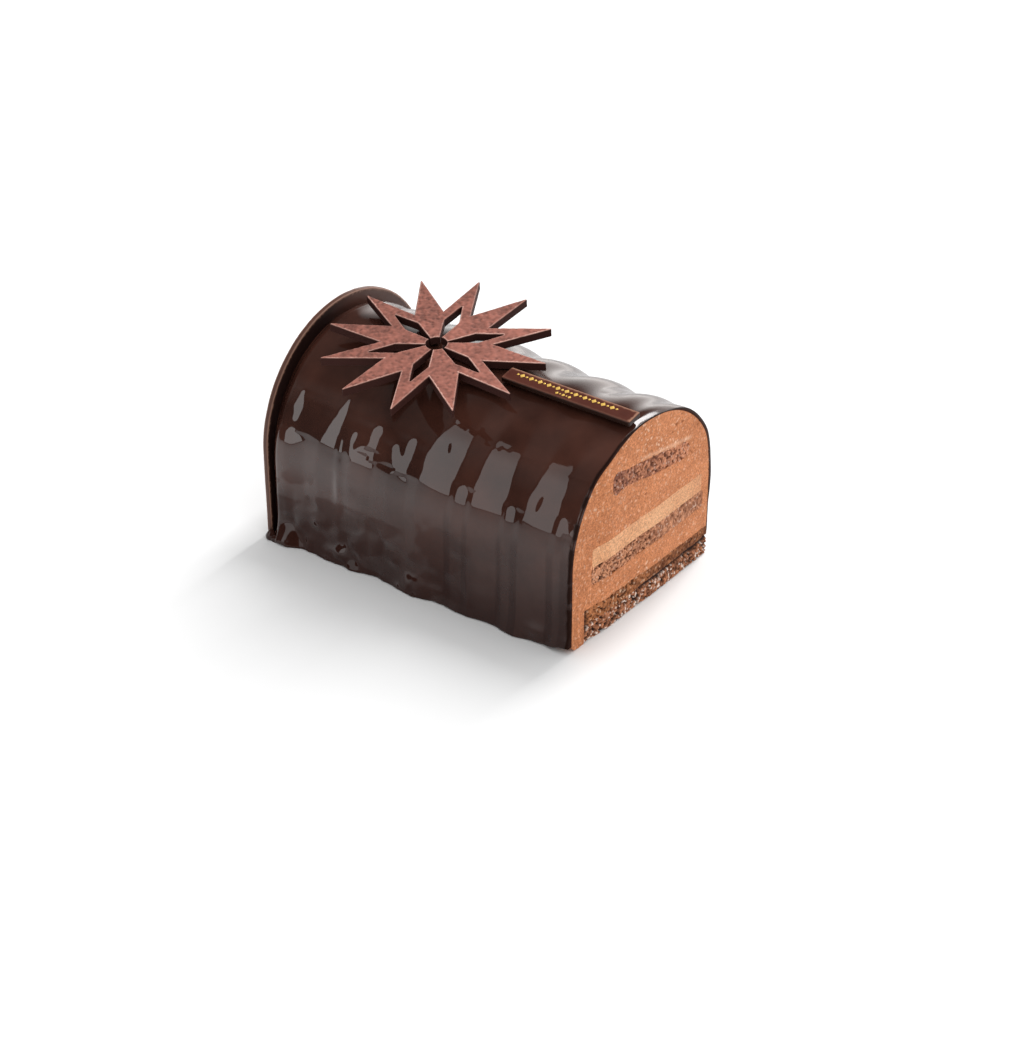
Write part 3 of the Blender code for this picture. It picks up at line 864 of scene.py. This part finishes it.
NOMINAL_RADIUS = 0.0405
ARC_LENGTH = pi * NOMINAL_RADIUS
SECTION_LENGTH = 2 * ARC_HEIGHT + ARC_LENGTH
GLAZE_AT_CUT, GLAZE_SWELL = 1.4 * MM, 1.3 * MM
HUMP_PITCH = 19 * MM  # the humps over the ridge and the far side
GROOVE = 1.1 * MM  # the gap that shows between the glaze and the disc
END_ROUNDING = 3.8 * MM
SHOULDER, SHOULDER_LENGTH = 1.25 * MM, 5.0 * MM  # how the ridge falls away towards the cut
HEM_LIFT, HEM_LIFT_LENGTH = 2.4 * MM, 12 * MM
FAR_HEM_LIFT, FAR_HEM_LENGTH = 8.5 * MM, 6 * MM
LIP_ROUNDING = 0.75 * MM
BAND_SLOPE = 0.21  # how steeply the glaze draws in over a band
LEVELLED_OVER = 24  # millimetres along the log over which bands leave the coat's thickness alone
POOL_HEIGHT = 5.0 * MM  # how far up the pooled foot flares out

# Bands down the side facing -Y where the glaze draws in towards the cut, so that they mirror the
# panel: points on the middle line as distance from the cut, length up the section from the floor
# and half-width, all in millimetres. Every length below up to STROKES' end is one band.
STROKES = (
    ((15.4, -20, 5.4), (15.4, 40, 5.6), (14.0, 55, 4.9), (13.4, 64, 4.5), (12.5, 100, 4.4)),
    ((34.6, -20, 5.6), (34.6, 40, 5.9), (34.2, 52, 5.6), (33.8, 64, 5.0), (33.0, 100, 4.8)),
    ((56.0, -20, 5.6), (55.6, 40, 5.8), (54.6, 51, 6.1), (52.0, 62, 4.8), (50.5, 100, 4.4)),
    ((69.6, -20, 3.4), (69.4, 40, 3.6), (69.6, 44, 2.2), (73.4, 49.5, 1.4)),
    ((69.4, 44, 2.2), (67.8, 48, 1.5), (67.7, 53, 1.5)),
    ((85.2, -20, 3.6), (85.0, 40, 4.6), (84.8, 42.5, 4.2)),
    ((89.2, 42, 1.4), (89.9, 46, 0.8), (89.7, 49, 0.9)),
    ((83.0, 42, 1.9), (82.2, 47, 1.6), (81.7, 52.5, 1.7)),
    ((100.2, -20, 3.0), (100.0, 40, 3.2), (98.6, 48, 2.4), (97.2, 55, 1.2), (96.9, 59, 0.4)),
    ((94.2, 36, 1.5), (94.2, 41, 1.0), (94.2, 46, 0.6)),
    ((115.5, -20, 2.0), (115.6, 42, 1.3)),
    ((115.0, 47, 0.8), (115.2, 51, 1.7), (115.4, 56, 0.7)),
    ((45.0, 30, 2.4), (44.6, 44, 2.3)),
    ((25.4, 30, 1.8), (25.2, 44, 1.7)),
    ((5.6, 30, 1.5), (5.6, 43, 1.6), (6.2, 46.5, 1.0)),
)
# Small eyes inside those bands: middle, half-width, half-height and how far it leans
EYES = (
    (16.0, 49.3, 1.0, 3.1, 0.12), (54.0, 55.8, 0.7, 1.9, -0.35), (71.6, 43.0, 1.3, 0.9, 0.0),
    (83.0, 43.2, 0.8, 0.9, 0.0), (5.3, 43.6, 0.6, 1.3, 0.1), (51.4, 64.3, 0.7, 0.6, 0.0),
    (36.6, 61.6, 0.5, 0.8, 0.0), (33.2, 62.2, 0.8, 0.5, 0.0), (9.4, 61.4, 0.6, 0.7, 0.0),
)
# Swellings and hollows low on that side: middle, half-width and half-height, and height
LUMPS = (
    (13.5, 4.8, 4.2, 2.6, 0.95), (8.4, 3.0, 1.5, 1.6, -0.50), (54.0, 4.8, 3.4, 2.0, 0.60),
    (71.0, 10.0, 3.2, 2.4, 0.60), (85.5, 12.5, 3.4, 3.2, 0.65), (94.5, 15.0, 2.8, 3.0, 0.55),
    (90.5, 10.0, 1.8, 2.0, -0.40), (103.0, 13.0, 2.8, 2.0, 0.45), (95.0, 4.4, 3.6, 1.9, 0.60),
    (107.0, 4.6, 3.6, 2.4, 0.60), (115.5, 4.2, 2.6, 2.4, 0.50),
    (86.0, 23.5, 6.0, 2.2, 0.50), (93.8, 30.0, 1.5, 9.0, 0.42), (62.0, 15.0, 5.0, 5.0, -0.25),
)
# Where the pooled foot stands further out or less far: middle, half-width and amount
POOLS = (
    (7.0, 3.0, 0.8), (23.0, 6.0, 1.3), (52.5, 4.5, -1.7), (78.0, 5.0, -1.8), (101.0, 3.0, -0.7),
    (124.0, 3.0, -1.4),
)
# How much thicker the glaze is low on the side than high up, over the distance from the cut
LEAN_AT = (0, 6, 15, 30, 56, 70, 90, 115, 126)
LEAN = (0.15, 0.25, 0.85, 1.15, 1.15, 0.90, 0.85, 0.45, 0.40)


def glaze_material():
    """Mirror-smooth, darker and duller where paint() lays painted shade: shade at the foot, dark reflections
    between the bands.
    """
    material, tree, shader = new_material("chocolate_glaze")
    painted_shade, lip, gloss = crumb_channels(tree)
    cloud = spread(tree, add_noise(tree, 55.0, 3.0), 0.34, 0.70)
    colour = blend(tree, cloud, (0.031, 0.0108, 0.0074), (0.065, 0.0232, 0.0156))
    # painted shade: darker colour at the foot, and painted dark reflections between the bands and in clouds
    # low on the side
    colour = blend(tree, painted_shade, colour, (0.0245, 0.0075, 0.0052))
    colour = blend(tree, lip, colour, (0.016, 0.006, 0.004))
    put(tree, shader, {"Base Color": colour, "Specular IOR Level": times(tree, gloss, 0.65),
                       "Roughness": spread(tree, lip, 0.0, 1.0, 0.045, 0.45), "IOR": 1.5})
    return material


def section_place(t):
    """Height and angle at a length t along the glaze's section, from the -Y floor over the top."""
    angle = np.clip((t - ARC_HEIGHT) / NOMINAL_RADIUS, 0.0, pi)
    height = np.minimum(t, ARC_HEIGHT)
    height = np.where(t > ARC_HEIGHT + ARC_LENGTH, SECTION_LENGTH - t, height)
    return height, angle


def stroke_cover(d, t, stroke):
    """1 inside a band and 0 outside it, with a soft edge. All in millimetres."""
    cover = np.zeros(np.broadcast(d, t).shape)
    for (d0, t0, r0), (d1, t1, r1) in zip(stroke, stroke[1:]):
        run = (d1 - d0) ** 2 + (t1 - t0) ** 2
        share = np.clip(((d - d0) * (d1 - d0) + (t - t0) * (t1 - t0)) / run, 0.0, 1.0)
        far = np.hypot(d - d0 - share * (d1 - d0), t - t0 - share * (t1 - t0))
        reach = r0 + share * (r1 - r0)
        soft = np.minimum(0.9, 0.6 * reach) + 0.18 * np.clip(t - 63, 0, 16)
        cover = np.maximum(cover, smoothstep(soft, -soft, far - reach))
    return cover


def moving_mean(rows, width):
    """Each row averaged over a number of its values, held at both ends."""
    half = width // 2
    padded = np.concatenate([np.repeat(rows[:, :1], half + 1, 1), rows, np.repeat(rows[:, -1:], half, 1)], 1)
    total = np.cumsum(padded, 1)
    return (total[:, width:] - total[:, :-width])[:, :rows.shape[1]] / width


def band_cover(along, up):
    """1 inside the bands of the side facing -Y and 0 between them."""
    ragged = 0.35 * noise(along / 1.5, up / 2.2, 0.5, 12) + 0.5 * noise(along / 5, up / 5, 0.5, 13)
    cover = np.zeros((len(up), along.shape[1]))
    for stroke in STROKES:
        cover = np.maximum(cover, stroke_cover(along + ragged, up, stroke))
    for d0, t0, reach_d, reach_t, lean in EYES:
        far = ((along - d0 + lean * (up - t0)) / reach_d) ** 2 + ((up - t0) / reach_t) ** 2
        cover = cover * smoothstep(0.35, 1.3, far)
    return cover


def side_ripples(d, t):
    """Height of the ripples on the side facing -Y: its slope along the log follows the bands."""
    step = 0.25
    along = np.arange(-12.0, 140.0, step)[None, :]
    cover = band_cover(along, t / MM)
    window = int(LEVELLED_OVER / step)
    slope = BAND_SLOPE * (cover - moving_mean(moving_mean(cover, window), window))
    height = np.cumsum(slope, 1) * step
    height = height - moving_mean(moving_mean(height, window), window)
    return np.stack([np.interp(here / MM, along[0], row) for here, row in zip(d, height)]) * MM


def lumps_on_side(d, t):
    total = 0.0
    for across, up, reach_d, reach_t, tall in LUMPS:
        far = ((d / MM - across) / reach_d) ** 2 + ((t / MM - up) / reach_t) ** 2
        total = total + tall * MM * np.exp(-far)
    return total


def humps(d, t):
    """The ripples over the ridge and the far side: low along the ridge, deep beyond it."""
    far = ramp(88, 112, t)
    drift = 1.5 * MM * grain(d, t, 20, 16) + 0.10 * (t - 119 * MM)
    swing = np.cos(2 * pi * (d + drift - 10 * MM) / HUMP_PITCH)
    height = (0.20 + 0.55 * far) * (1 - 0.5 * ramp(150, 172, t))
    return MM * (height * swing - 0.40 * far) * ramp(0, 9, d)


def thin_side(d, t):
    """1 low on the +Y side beside the cut, where the glaze thins out, and 0 elsewhere."""
    return ramp(30, 12, SECTION_LENGTH - t) * ramp(9, 2, d)


def glaze_relief(d, t):
    """Ripples, lumps and the unevenness that grows towards the far end and the foot."""
    above = ramp(66, 84, t)
    low_side = 0.55 + 0.35 * ramp(60, 35, d)
    low_side = low_side + (1 - low_side) * ramp(30, 42, t)
    ripple = side_ripples(d, t) * low_side * (1 - above) + humps(d, t) * above
    left = ramp(35, 90, d) * ramp(128, 108, d)
    low = ramp(30, 8, t) + ramp(30, 8, SECTION_LENGTH - t)
    uneven_low = mottle(d, t, ((0.45 + 0.75 * left) * low, 9, 1), ((0.12 + 0.62 * left) * low, 4.6, 2))
    uneven_low = uneven_low * (1 - thin_side(d, t))
    broad = 0.08 * grain(d, t, 17, 4) + 1.2 * ramp(108, 117, d) * ramp(48, 36, t)
    micro = mottle(d, t, (0.0030, 1.6, 5), (0.006 * left, 4, 6))
    lean = moving_mean(np.interp(np.arange(0, 126.0, 0.5), LEAN_AT, LEAN)[None, :], 16)[0]
    lean = np.interp(d / MM, np.arange(0, 126.0, 0.5), lean) * MM
    drawn_in = lean * (0.5 - ramp(24, 58, t) * ramp(150, 100, t))
    return ripple + (uneven_low + broad + micro) * MM + drawn_in + lumps_on_side(d, t)


def follow_cut(x, angle):
    """Places along the log, laid back with the cut where they come near it."""
    back = FACE_X - cut_at(-NOMINAL_RADIUS * np.cos(angle))
    return x - back * ramp(14, 0, FACE_X - x)


def lift_hem(height, angle, d):
    """Heights on the straight sides, where the glaze stops short of the floor beside the cut."""
    lift = np.where(angle <= 0, HEM_LIFT * smoothstep(HEM_LIFT_LENGTH, 0.0, d), 0.0)
    lift = np.where(angle >= pi, FAR_HEM_LIFT * smoothstep(FAR_HEM_LENGTH, 0.0, d), lift)
    return lift + height * (1 - lift / ARC_HEIGHT)


def glaze_outer(place, t):
    """Points on the outside of the glaze, at places along the log from the far end to FACE_X."""
    height, angle = section_place(t)
    x = follow_cut(place, angle)
    d = MARK_X - x
    swell = GLAZE_SWELL * ramp(20, 85, d)
    straight = (angle <= 0) | (angle >= pi)
    pool = 1.0 + 0.30 * wobble(d, 7, 8) + 0.15 * wobble(d, 2.6, 9)
    reach = (0.9 + 1.7 * ramp(30, 56, d) + 0.5 * ramp(110, 121, d)) * pool * MM
    for at, width, more in POOLS:
        reach = reach + more * MM * np.exp(-((d / MM - at) / width) ** 2)
    reach = reach * (1 - thin_side(d, t))
    flare = np.where(straight, reach * np.exp(-height / POOL_HEIGHT), 0.0)
    foot = 1.0 * MM
    below = np.maximum(foot - height, 0.0)
    tuck = np.where(straight, foot - np.sqrt(foot ** 2 - below ** 2), 0.0)
    short = np.clip(1 - (x - GLAZE_END_X - GROOVE) / END_ROUNDING, 0.0, 1.0)
    full = np.sqrt(1 - short ** 2)
    beyond = ramp(80, 88, t)
    lip = LIP_ROUNDING * (1.0 + 0.35 * wobble(t, 2.2, 10)) * (1 - 0.75 * beyond)
    from_cut = FACE_X - place
    over = np.clip(lip - from_cut, 0.0, lip)
    inset_cut = 0.85 * (lip - np.sqrt(lip ** 2 - over ** 2))
    crown = ramp(79, 89, t) * ramp(118, 104, t)
    fall = np.clip(1 - from_cut / SHOULDER_LENGTH, 0.0, 1.0)
    inset_cut = inset_cut + SHOULDER * crown * fall ** 2
    beaded = (0.12 + 0.12 * ramp(60, 30, t)) * (1 - 0.8 * beyond)
    bead = beaded * MM * wobble(t, 1.7, 11) * ramp(2.5, 0.3, from_cut)
    relief = glaze_relief(d, t)
    least, most = 0.25 * MM, -glaze_low.y - CORE_RADIUS - 0.1 * MM
    thinner = 0.85 * MM * thin_side(d, t)
    coat = np.minimum(GLAZE_AT_CUT + swell + relief + flare, most) + bead - inset_cut - tuck - thinner
    radius = mousse_radius(angle) + least + np.maximum(coat - least, 0.0) * full
    height = lift_hem(height, angle, d)
    return np.stack([x + 0 * t, -radius * np.cos(angle), height + radius * np.sin(angle)], -1)


def glaze_stations():
    """Places along the log: crowded over the rounded far end and beside the cut."""
    turn = np.linspace(0, pi / 2, 15)
    rounded = GLAZE_END_X + GROOVE + END_ROUNDING * (1 - np.cos(turn))
    groove = GLAZE_END_X + np.array([0.05 * MM, 0.5 * GROOVE])
    rounded = np.concatenate([groove, rounded])
    lip = FACE_X - 1.2 * MM * np.linspace(0, 1, 9)[::-1] ** 1.5
    middle = np.linspace(rounded[-1], lip[0], 234)[1:-1]
    return np.concatenate([rounded, middle, lip])


def glaze_rows():
    """Lengths along the section: crowded at both feet."""
    foot = 2.5 * MM * np.linspace(0, 1, 9) ** 1.4
    middle = np.linspace(foot[-1], SECTION_LENGTH - foot[-1], 276)[1:-1]
    return np.concatenate([foot, middle, SECTION_LENGTH - foot[::-1]])


def blob(centre, reach, seed):
    """A drop of glaze that ran out over the floor: points and faces of a lumpy flattened ball."""
    rings, sides = 16, 28
    down = pi * np.arange(1, rings)[:, None] / rings
    around = 2 * pi * np.arange(sides) / sides
    way = np.stack([np.sin(down) * np.cos(around), np.sin(down) * np.sin(around),
                    np.cos(down) + 0 * around], -1).reshape(-1, 3)
    lump = 1 + 0.18 * noise(*(way.T * 1.3 + 5), seed)
    verts = np.array(centre) + np.array(reach) * way * lump[:, None]
    verts[:, 2] = np.maximum(verts[:, 2], 0.0)
    faces = tube(0, sides, rings - 2)
    top, bottom = len(verts), len(verts) + 1
    verts = np.concatenate([verts, [(*centre[:2], centre[2] + reach[2]), (*centre[:2], 0.0)]])
    faces += [(top, j, (j + 1) % sides) for j in range(sides)]
    last = (rings - 2) * sides
    faces += [(bottom, last + (j + 1) % sides, last + j) for j in range(sides)]
    return verts, faces


def glaze_painted_shade(d, t):
    """0 to 1: painted shade, most at the foot; between the bands and in clouds low on the side it paints
    dark reflections.
    """
    foot = ramp(36, 3, t)
    between = 1 - smoothstep(0.1, 0.9, band_cover(d[0] / MM + 0 * t, 30 + 0 * t))
    stripes = between * ramp(38, 32, t) * ramp(70, 40, d)
    cloud = smoothstep(-0.35, 0.65, mottle(d, t, (1, 15, 14), (0.3, 7, 15))) * ramp(36, 26, t)
    return np.clip(0.70 * foot + 0.42 * stripes + 0.22 * cloud, 0, 1)


def glaze_paint(place, t):
    """How much painted shade, how near the cut's matt lip and how glossy the glaze is."""
    angle = section_place(t)[1]
    painted_shade = glaze_painted_shade(MARK_X - follow_cut(place, angle), t)
    crown = ramp(60, 80, t)
    from_cut = FACE_X - place + (1 - crown) * 0.4 * MM * wobble(t, 3.1, 17)
    lip = ramp(1.35 - 0.6 * crown, 0.75 - 0.45 * crown, from_cut)
    glints = smoothstep(0.1, 0.5, wobble(t, 2.9, 18)) * (1 - crown)
    lip = np.maximum(lip * (1 - 0.6 * glints), 0.45 * ramp(88, 100, t))
    d = MARK_X - place
    end = ramp(75, 95, d) * ramp(18, 26, t)
    pools = smoothstep(-0.12, 0.08, grain(d + 0.7 * t, 1.9 * t, 10, 19) + 0.25 * grain(d, t, 3, 20))
    pools = 1 - 0.46 * (1 - pools) * ramp(34, 24, t) * ramp(20, 60, d)
    shine = 0.74 + 0.15 * ramp(35, 65, d) + 0.25 * end
    shoulder = ramp(57, 62, t) * ramp(88, 80, t)
    shine = shine * (1 - (0.3 + 0.4 * ramp(75, 95, d)) * shoulder)
    gloss = shine * (1 - 0.45 * painted_shade) * (1 - 0.9 * lip) * pools
    return np.stack([painted_shade, lip, gloss], -1)


def build_glaze():
    t = glaze_rows()[:, None]
    x = glaze_stations()[None, :]
    outer = glaze_outer(x, t)
    height, angle = section_place(t)
    inner_x = FACE_X - np.array([[0, 2, 7, 14, 0]]) * MM
    inner_x[0, -1] = x[0, 0] + 1.5 * MM
    inner_x = follow_cut(inner_x, angle)
    r = mousse_radius(angle) + 0.02 * MM
    inner_height = lift_hem(height, angle, MARK_X - inner_x)
    inner = np.stack([inner_x + 0 * t, -r * np.cos(angle) + 0 * inner_x,
                      inner_height + r * np.sin(angle)], -1)
    loop = np.concatenate([outer, inner], 1)
    rows, columns = loop.shape[:2]
    faces = []
    for i in range(rows - 1):
        for j in range(columns):
            k = (j + 1) % columns
            faces.append((i * columns + j, i * columns + k, (i + 1) * columns + k, (i + 1) * columns + j))
    faces.append(tuple(range(columns))[::-1])
    faces.append(tuple((rows - 1) * columns + j for j in range(columns)))
    verts = loop.reshape(-1, 3)
    look = np.zeros((rows, columns, 3))
    look[:, :x.shape[1]] = glaze_paint(x, t)
    for centre, reach, seed in (
        ((GLAZE_END_X + 1.0 * MM, -44.2 * MM, 1.0 * MM), (1.9 * MM, 1.7 * MM, 2.2 * MM), 121),
        ((GLAZE_END_X + 3.7 * MM, -44.9 * MM, 0.8 * MM), (2.6 * MM, 1.1 * MM, 1.5 * MM), 122),
    ):
        first = len(verts)
        more, sides = blob(centre, reach, seed)
        verts = np.concatenate([verts, more])
        faces += [tuple(first + i for i in face) for face in sides]
    piece = add_mesh("glaze_coat", verts, faces, glaze_material(), 60)
    # the drops at the foot get painted shade (0.8), like the glaze's foot
    drops = np.tile([0.8, 0.0, 0.6], (len(verts) - rows * columns, 1))
    paint(piece, np.concatenate([look.reshape(-1, 3), drops]))
    settle(piece, "glaze")


# ---- stage

LIGHT_DISTANCE, PANEL_HEIGHT = 1.5, 2.9


def build_camera():
    data = bpy.data.cameras.new("camera")
    data.lens = 83.24
    data.sensor_width = 36.0
    data.clip_start = 0.01
    camera = add_object("camera", data)
    azimuth, elevation = radians(36.754), radians(31.831)
    camera.location = (0.421637, -0.552250, 0.439511)
    camera.rotation_euler = (pi / 2 - elevation, 0.0, azimuth)
    bpy.context.scene.camera = camera


def build_floor():
    material, tree, shader = new_material("white_floor")
    put(tree, shader, {"Base Color": (0.8, 0.8, 0.8), "Roughness": 1.0, "Specular IOR Level": 0.0})
    bpy.ops.mesh.primitive_plane_add(size=40.0)
    floor = bpy.context.object
    floor.name = "floor"
    floor.data.materials.append(material)


def area_light(name, azimuth, elevation, width, height, radiance):
    """A rectangular soft light that faces the cake. The azimuth is from +Y towards +X."""
    data = bpy.data.lights.new(name, "AREA")
    data.shape = "RECTANGLE"
    data.size, data.size_y = width, height
    data.energy = radiance * pi * width * height
    lamp = add_object(name, data)
    a, e = radians(azimuth), radians(elevation)
    out = Vector((sin(a) * cos(e), cos(a) * cos(e), sin(e)))
    lamp.location = out * LIGHT_DISTANCE
    lamp.rotation_euler = out.to_track_quat("Z", "Y").to_euler()
    return lamp


def toward(tree, axis, direction):
    """How far a view direction points along a given one, from -1 to 1."""
    ends = {0: axis, 1: Vector(direction).normalized()}
    return add_node(tree, "VectorMath", ends, operation="DOT_PRODUCT")["Value"]


def build_lights():
    area_light("key", azimuth=0, elevation=51, width=0.30, height=1.0, radiance=18.0)
    # a tall white panel at the front left, just above the horizon, which the ripples mirror
    panel = area_light("panel", azimuth=195, elevation=0, width=0.92, height=PANEL_HEIGHT, radiance=1.82)
    panel.location.z = PANEL_HEIGHT / 2 + 0.06
    panel.visible_diffuse = False
    bpy.context.scene.view_settings.view_transform = "Standard"
    world = bpy.data.worlds.new("studio")
    bpy.context.scene.world = world
    world.use_nodes = True
    tree = world.node_tree
    tree.nodes.clear()
    where = add_node(tree, "TexCoord", {})["Generated"]
    dome = spread(tree, toward(tree, where, (0.35, 0.35, 0.85)), -0.5, 0.9)
    soft = {"Color": blend(tree, dome, (0.33, 0.33, 0.33), (1.15, 1.15, 1.15))}
    across, along, up = add_node(tree, "SeparateXYZ", {"Vector": where})
    back = times(tree, spread(tree, along, 0.0, 0.6), spread(tree, across, -0.66, -0.54, 0.15, 1.0))
    low = spread(tree, up, 0.05, 0.48, 1.0, 0.0)
    tone = blend(tree, times(tree, back, low), (0.08, 0.07, 0.065), (4.4, 4.3, 4.2))
    glow = spread(tree, toward(tree, where, (-0.80, -0.12, 0.62)), 0.80, 0.99)
    seen = {"Color": blend(tree, times(tree, glow, 0.25), tone, (1.3, 1.2, 1.15))}
    mirrored = add_node(tree, "LightPath", {})["Is Glossy Ray"]
    lights = [add_node(tree, "Background", colour)["Background"] for colour in (soft, seen)]
    both = add_node(tree, "MixShader", {0: mirrored, 1: lights[0], 2: lights[1]})["Shader"]
    add_node(tree, "OutputWorld", {"Surface": both})


build_camera()
build_floor()
build_lights()
build_glaze()
layers = layer_edges()
build_mousse(layers)
build_cream(layers)
build_sponges(layers)
build_disc()
build_star()
build_bar()
build_gilt()
